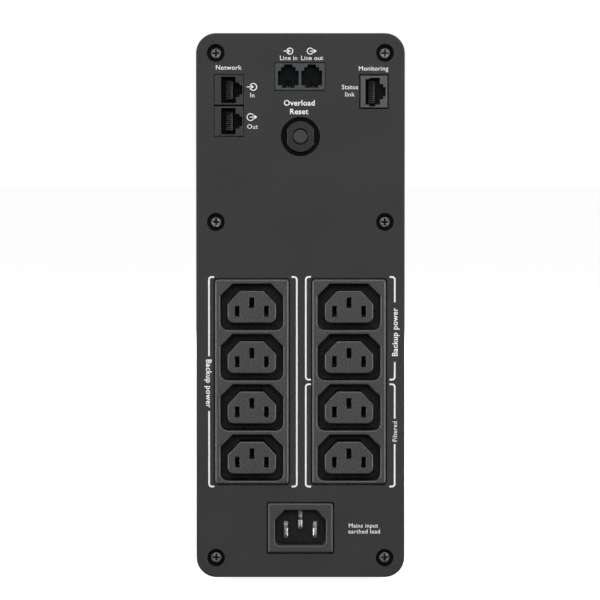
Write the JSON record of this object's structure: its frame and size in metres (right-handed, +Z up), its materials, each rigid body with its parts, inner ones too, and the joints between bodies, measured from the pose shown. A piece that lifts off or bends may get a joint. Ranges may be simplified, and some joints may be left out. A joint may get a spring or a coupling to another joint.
{
  "type": "uninterruptible power supply",
  "caption": "Slim tower battery backup unit with sheet F mains outlets, a C14 inlet, a breaker, network, phone and data jacks on its rear panel and a display in front.",
  "frame": {"origin": "centre of the footprint on the surface that the feet stand on", "axes": "+Z up, +Y out of the rear connector panel, -Y out of the front, +X to the right as seen from the front"},
  "size_m": [0.1, 0.382, 0.2626],
  "materials": {
    "case_plastic": "fine-grained moulded",
    "socket_plastic": "satin moulded",
    "inlet_plastic": "satin moulded",
    "breaker_plastic": "satin moulded",
    "reset_plastic": "satin moulded",
    "jack_plastic": "satin moulded",
    "phone_plastic": "satin moulded",
    "data_plastic": "satin moulded",
    "contact_brass": "stamped",
    "gilt_contacts": "gold flash",
    "plated_pins": "nickel plated",
    "screw_steel": "zinc plated",
    "foot_rubber": "matt",
    "board_green": "solder resist",
    "battery_case": "moulded",
    "inner_plastic": "moulded",
    "connector_grey": "moulded",
    "wire_red": "extruded",
    "wire_black": "extruded",
    "wire_brown": "extruded",
    "wire_blue": "extruded",
    "wire_earth": "extruded, striped",
    "ribbon_grey": "extruded",
    "core_steel": "varnished laminations",
    "coil_tape": "polyester tape",
    "bracket_steel": "zinc plated",
    "heatsink_aluminium": "extruded",
    "transistor_epoxy": "moulded epoxy",
    "capacitor_sleeve": "shrunk sleeve",
    "relay_case": "moulded",
    "choke_ferrite": "coated",
    "copper_wire": "enamelled",
    "varistor_blue": "dipped",
    "fascia_gloss": "polished",
    "window_smoke": "polished",
    "display_grey": "satin",
    "key_gloss": "polished",
    "switch_plastic": "moulded",
    "light_pipe": "clear moulded",
    "led_white": "moulded",
    "legend_ink": "pad printed",
    "display_segment": "printed",
    "label_paper": "printed"
  },
  "bodies": {
    "root": {"rear_panel": "case_plastic", "panel_screws": "screw_steel", "shell_left": "case_plastic", "shell_right": "case_plastic", "case_screws": "screw_steel", "rubber_feet": "foot_rubber", "outlet_block_left": "socket_plastic", "outlet_block_right": "socket_plastic", "outlet_contacts": "contact_brass", "inlet_body": "inlet_plastic", "inlet_pins": "plated_pins", "breaker_body": "breaker_plastic", "breaker_terminals": "contact_brass", "network_jack_lower": "jack_plastic", "network_jack_upper": "jack_plastic", "phone_jack": "phone_plastic", "data_jack": "data_plastic", "jack_contacts": "gilt_contacts", "comm_board": "board_green", "battery_front": "battery_case", "battery_rear": "battery_case", "battery_terminals": "plated_pins", "battery_tray": "inner_plastic", "bay_shelf": "inner_plastic", "battery_connector": "connector_grey", "leads_red": "wire_red", "leads_black": "wire_black", "transformer_core": "core_steel", "transformer_coil": "coil_tape", "transformer_bracket": "bracket_steel", "transformer_screws": "screw_steel", "main_board": "board_green", "board_standoffs": "inner_plastic", "heatsink_lower": "heatsink_aluminium", "heatsink_upper": "heatsink_aluminium", "power_transistors": "transistor_epoxy", "capacitors": "capacitor_sleeve", "relays": "relay_case", "choke_core": "choke_ferrite", "choke_winding": "copper_wire", "varistors": "varistor_blue", "wires_live": "wire_brown", "wires_neutral": "wire_blue", "wires_earth": "wire_earth", "ribbon_cable": "ribbon_grey", "front_bezel": "case_plastic", "front_fascia": "fascia_gloss", "display_window": "window_smoke", "display_module": "display_grey", "display_board": "board_green", "button_switches": "switch_plastic", "light_pipes": "light_pipe", "status_leds": "led_white", "buzzer": "transistor_epoxy"},
    "breaker_plunger": {"breaker_button": "reset_plastic"},
    "power_key": {"power_button": "key_gloss"},
    "mute_key": {"mute_button": "key_gloss"},
    "menu_key": {"menu_button": "key_gloss"},
    "door": {"battery_door": "case_plastic"}
  },
  "joints": [
    {"name": "breaker_trip", "type": "slide", "parent": "root", "child": "breaker_plunger", "axis": [0, 1, 0], "range_m": [0, 0.0035]},
    {"name": "power_press", "type": "slide", "parent": "root", "child": "power_key", "axis": [0, 1, 0], "range_m": [0, 0.0011], "stiffness_N_per_m": 400, "springref_m": -0.001},
    {"name": "mute_press", "type": "slide", "parent": "root", "child": "mute_key", "axis": [0, 1, 0], "range_m": [0, 0.0011], "stiffness_N_per_m": 400, "springref_m": -0.001},
    {"name": "menu_press", "type": "slide", "parent": "root", "child": "menu_key", "axis": [0, 1, 0], "range_m": [0, 0.0011], "stiffness_N_per_m": 400, "springref_m": -0.001},
    {"name": "door_lift_off", "type": "slide", "parent": "root", "child": "door", "axis": [-1, 0, 0], "range_m": [0, 0.08]}
  ]
}
